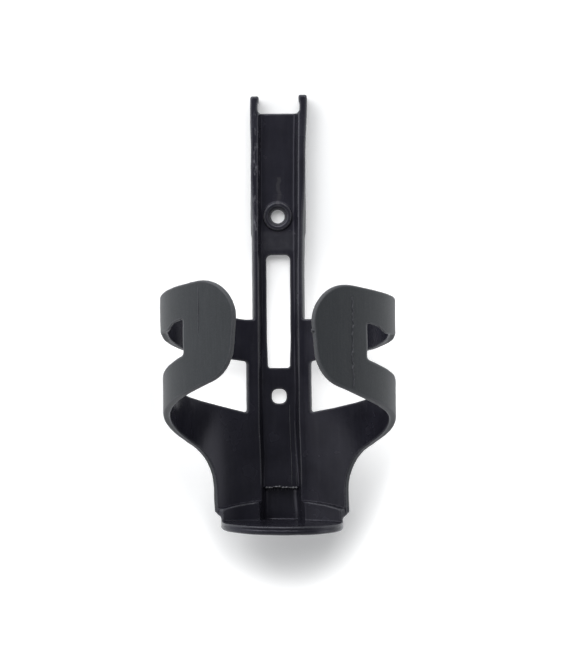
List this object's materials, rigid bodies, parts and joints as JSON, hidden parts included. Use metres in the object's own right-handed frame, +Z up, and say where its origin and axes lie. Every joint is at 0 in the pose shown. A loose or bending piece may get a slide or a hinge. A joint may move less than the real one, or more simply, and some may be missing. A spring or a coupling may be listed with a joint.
{
  "type": "bicycle water bottle cage",
  "caption": "Side-arm bicycle bottle cage: channel spine with bolt holes and slot, curved cradle, round foot plate and looped arms ending in grip pads.",
  "frame": {"origin": "middle of the two-bolt pattern, on the flat back face of the spine", "axes": "+Z up along the bottle's axis, +Y towards the frame tube, -Y the open front, +X right of someone facing the open front"},
  "size_m": [0.0778, 0.0786, 0.1524],
  "materials": {
    "nylon_satin": "satin black moulded nylon",
    "nylon_textured": "fine matte texture, dark slate grey"
  },
  "bodies": {
    "cage_body": {"spine_web": "nylon_satin", "left_spine_rail": "nylon_satin", "right_spine_rail": "nylon_satin", "upper_bolt_boss": "nylon_satin", "groove_stop": "nylon_satin", "foot_plate": "nylon_satin", "left_spine_edge": "nylon_satin", "left_rear_tab": "nylon_satin", "left_upper_band_root": "nylon_textured", "left_cradle_wall": "nylon_satin", "left_cradle_flare": "nylon_satin", "left_lower_band_root": "nylon_textured", "left_foot_ledge": "nylon_satin", "left_foot_wall": "nylon_satin", "right_spine_edge": "nylon_satin", "right_rear_tab": "nylon_satin", "right_upper_band_root": "nylon_textured", "right_cradle_wall": "nylon_satin", "right_cradle_flare": "nylon_satin", "right_lower_band_root": "nylon_textured", "right_foot_ledge": "nylon_satin", "right_foot_wall": "nylon_satin"},
    "left_arm": {"left_upper_band": "nylon_textured", "left_lower_band": "nylon_textured", "left_grip_pad": "nylon_textured"},
    "right_arm": {"right_upper_band": "nylon_textured", "right_lower_band": "nylon_textured", "right_grip_pad": "nylon_textured"}
  },
  "joints": [
    {"name": "left_arm_flex", "type": "hinge", "parent": "cage_body", "child": "left_arm", "pos_m": [-0.0377, -0.0415, -0.015], "axis": [0, 0, -1], "range_deg": [0, 5], "stiffness_Nm_per_rad": 4},
    {"name": "right_arm_flex", "type": "hinge", "parent": "cage_body", "child": "right_arm", "pos_m": [0.0377, -0.0415, -0.015], "axis": [0, 0, 1], "range_deg": [0, 5], "stiffness_Nm_per_rad": 4}
  ]
}
